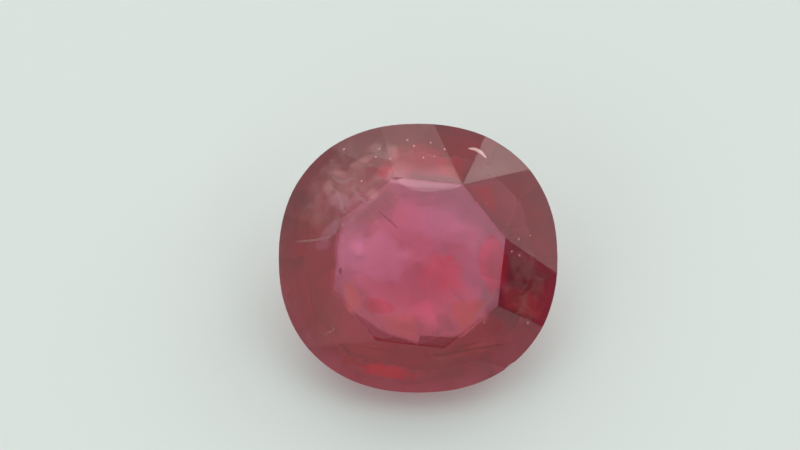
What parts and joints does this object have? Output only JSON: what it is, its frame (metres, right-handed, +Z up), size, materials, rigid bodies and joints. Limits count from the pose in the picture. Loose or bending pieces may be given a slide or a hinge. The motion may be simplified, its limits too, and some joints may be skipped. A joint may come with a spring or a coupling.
{
  "type": "cut ruby gemstone",
  "caption": "Faceted cushion-oval ruby with a flat table, a faceted crown and a shallow pavilion, lying on a pavilion facet.",
  "frame": {"origin": "bottom centre of the lying stone's box, on the surface that it rests on", "axes": "+Z up, +X along the stone's length, and the table faces up and towards -Y"},
  "size_m": [0.014, 0.0122, 0.0084],
  "materials": {
    "ruby": "polished, see-through, cloudy with healed cracks"
  },
  "bodies": {
    "root": {"ruby": "ruby"}
  },
  "joints": []
}
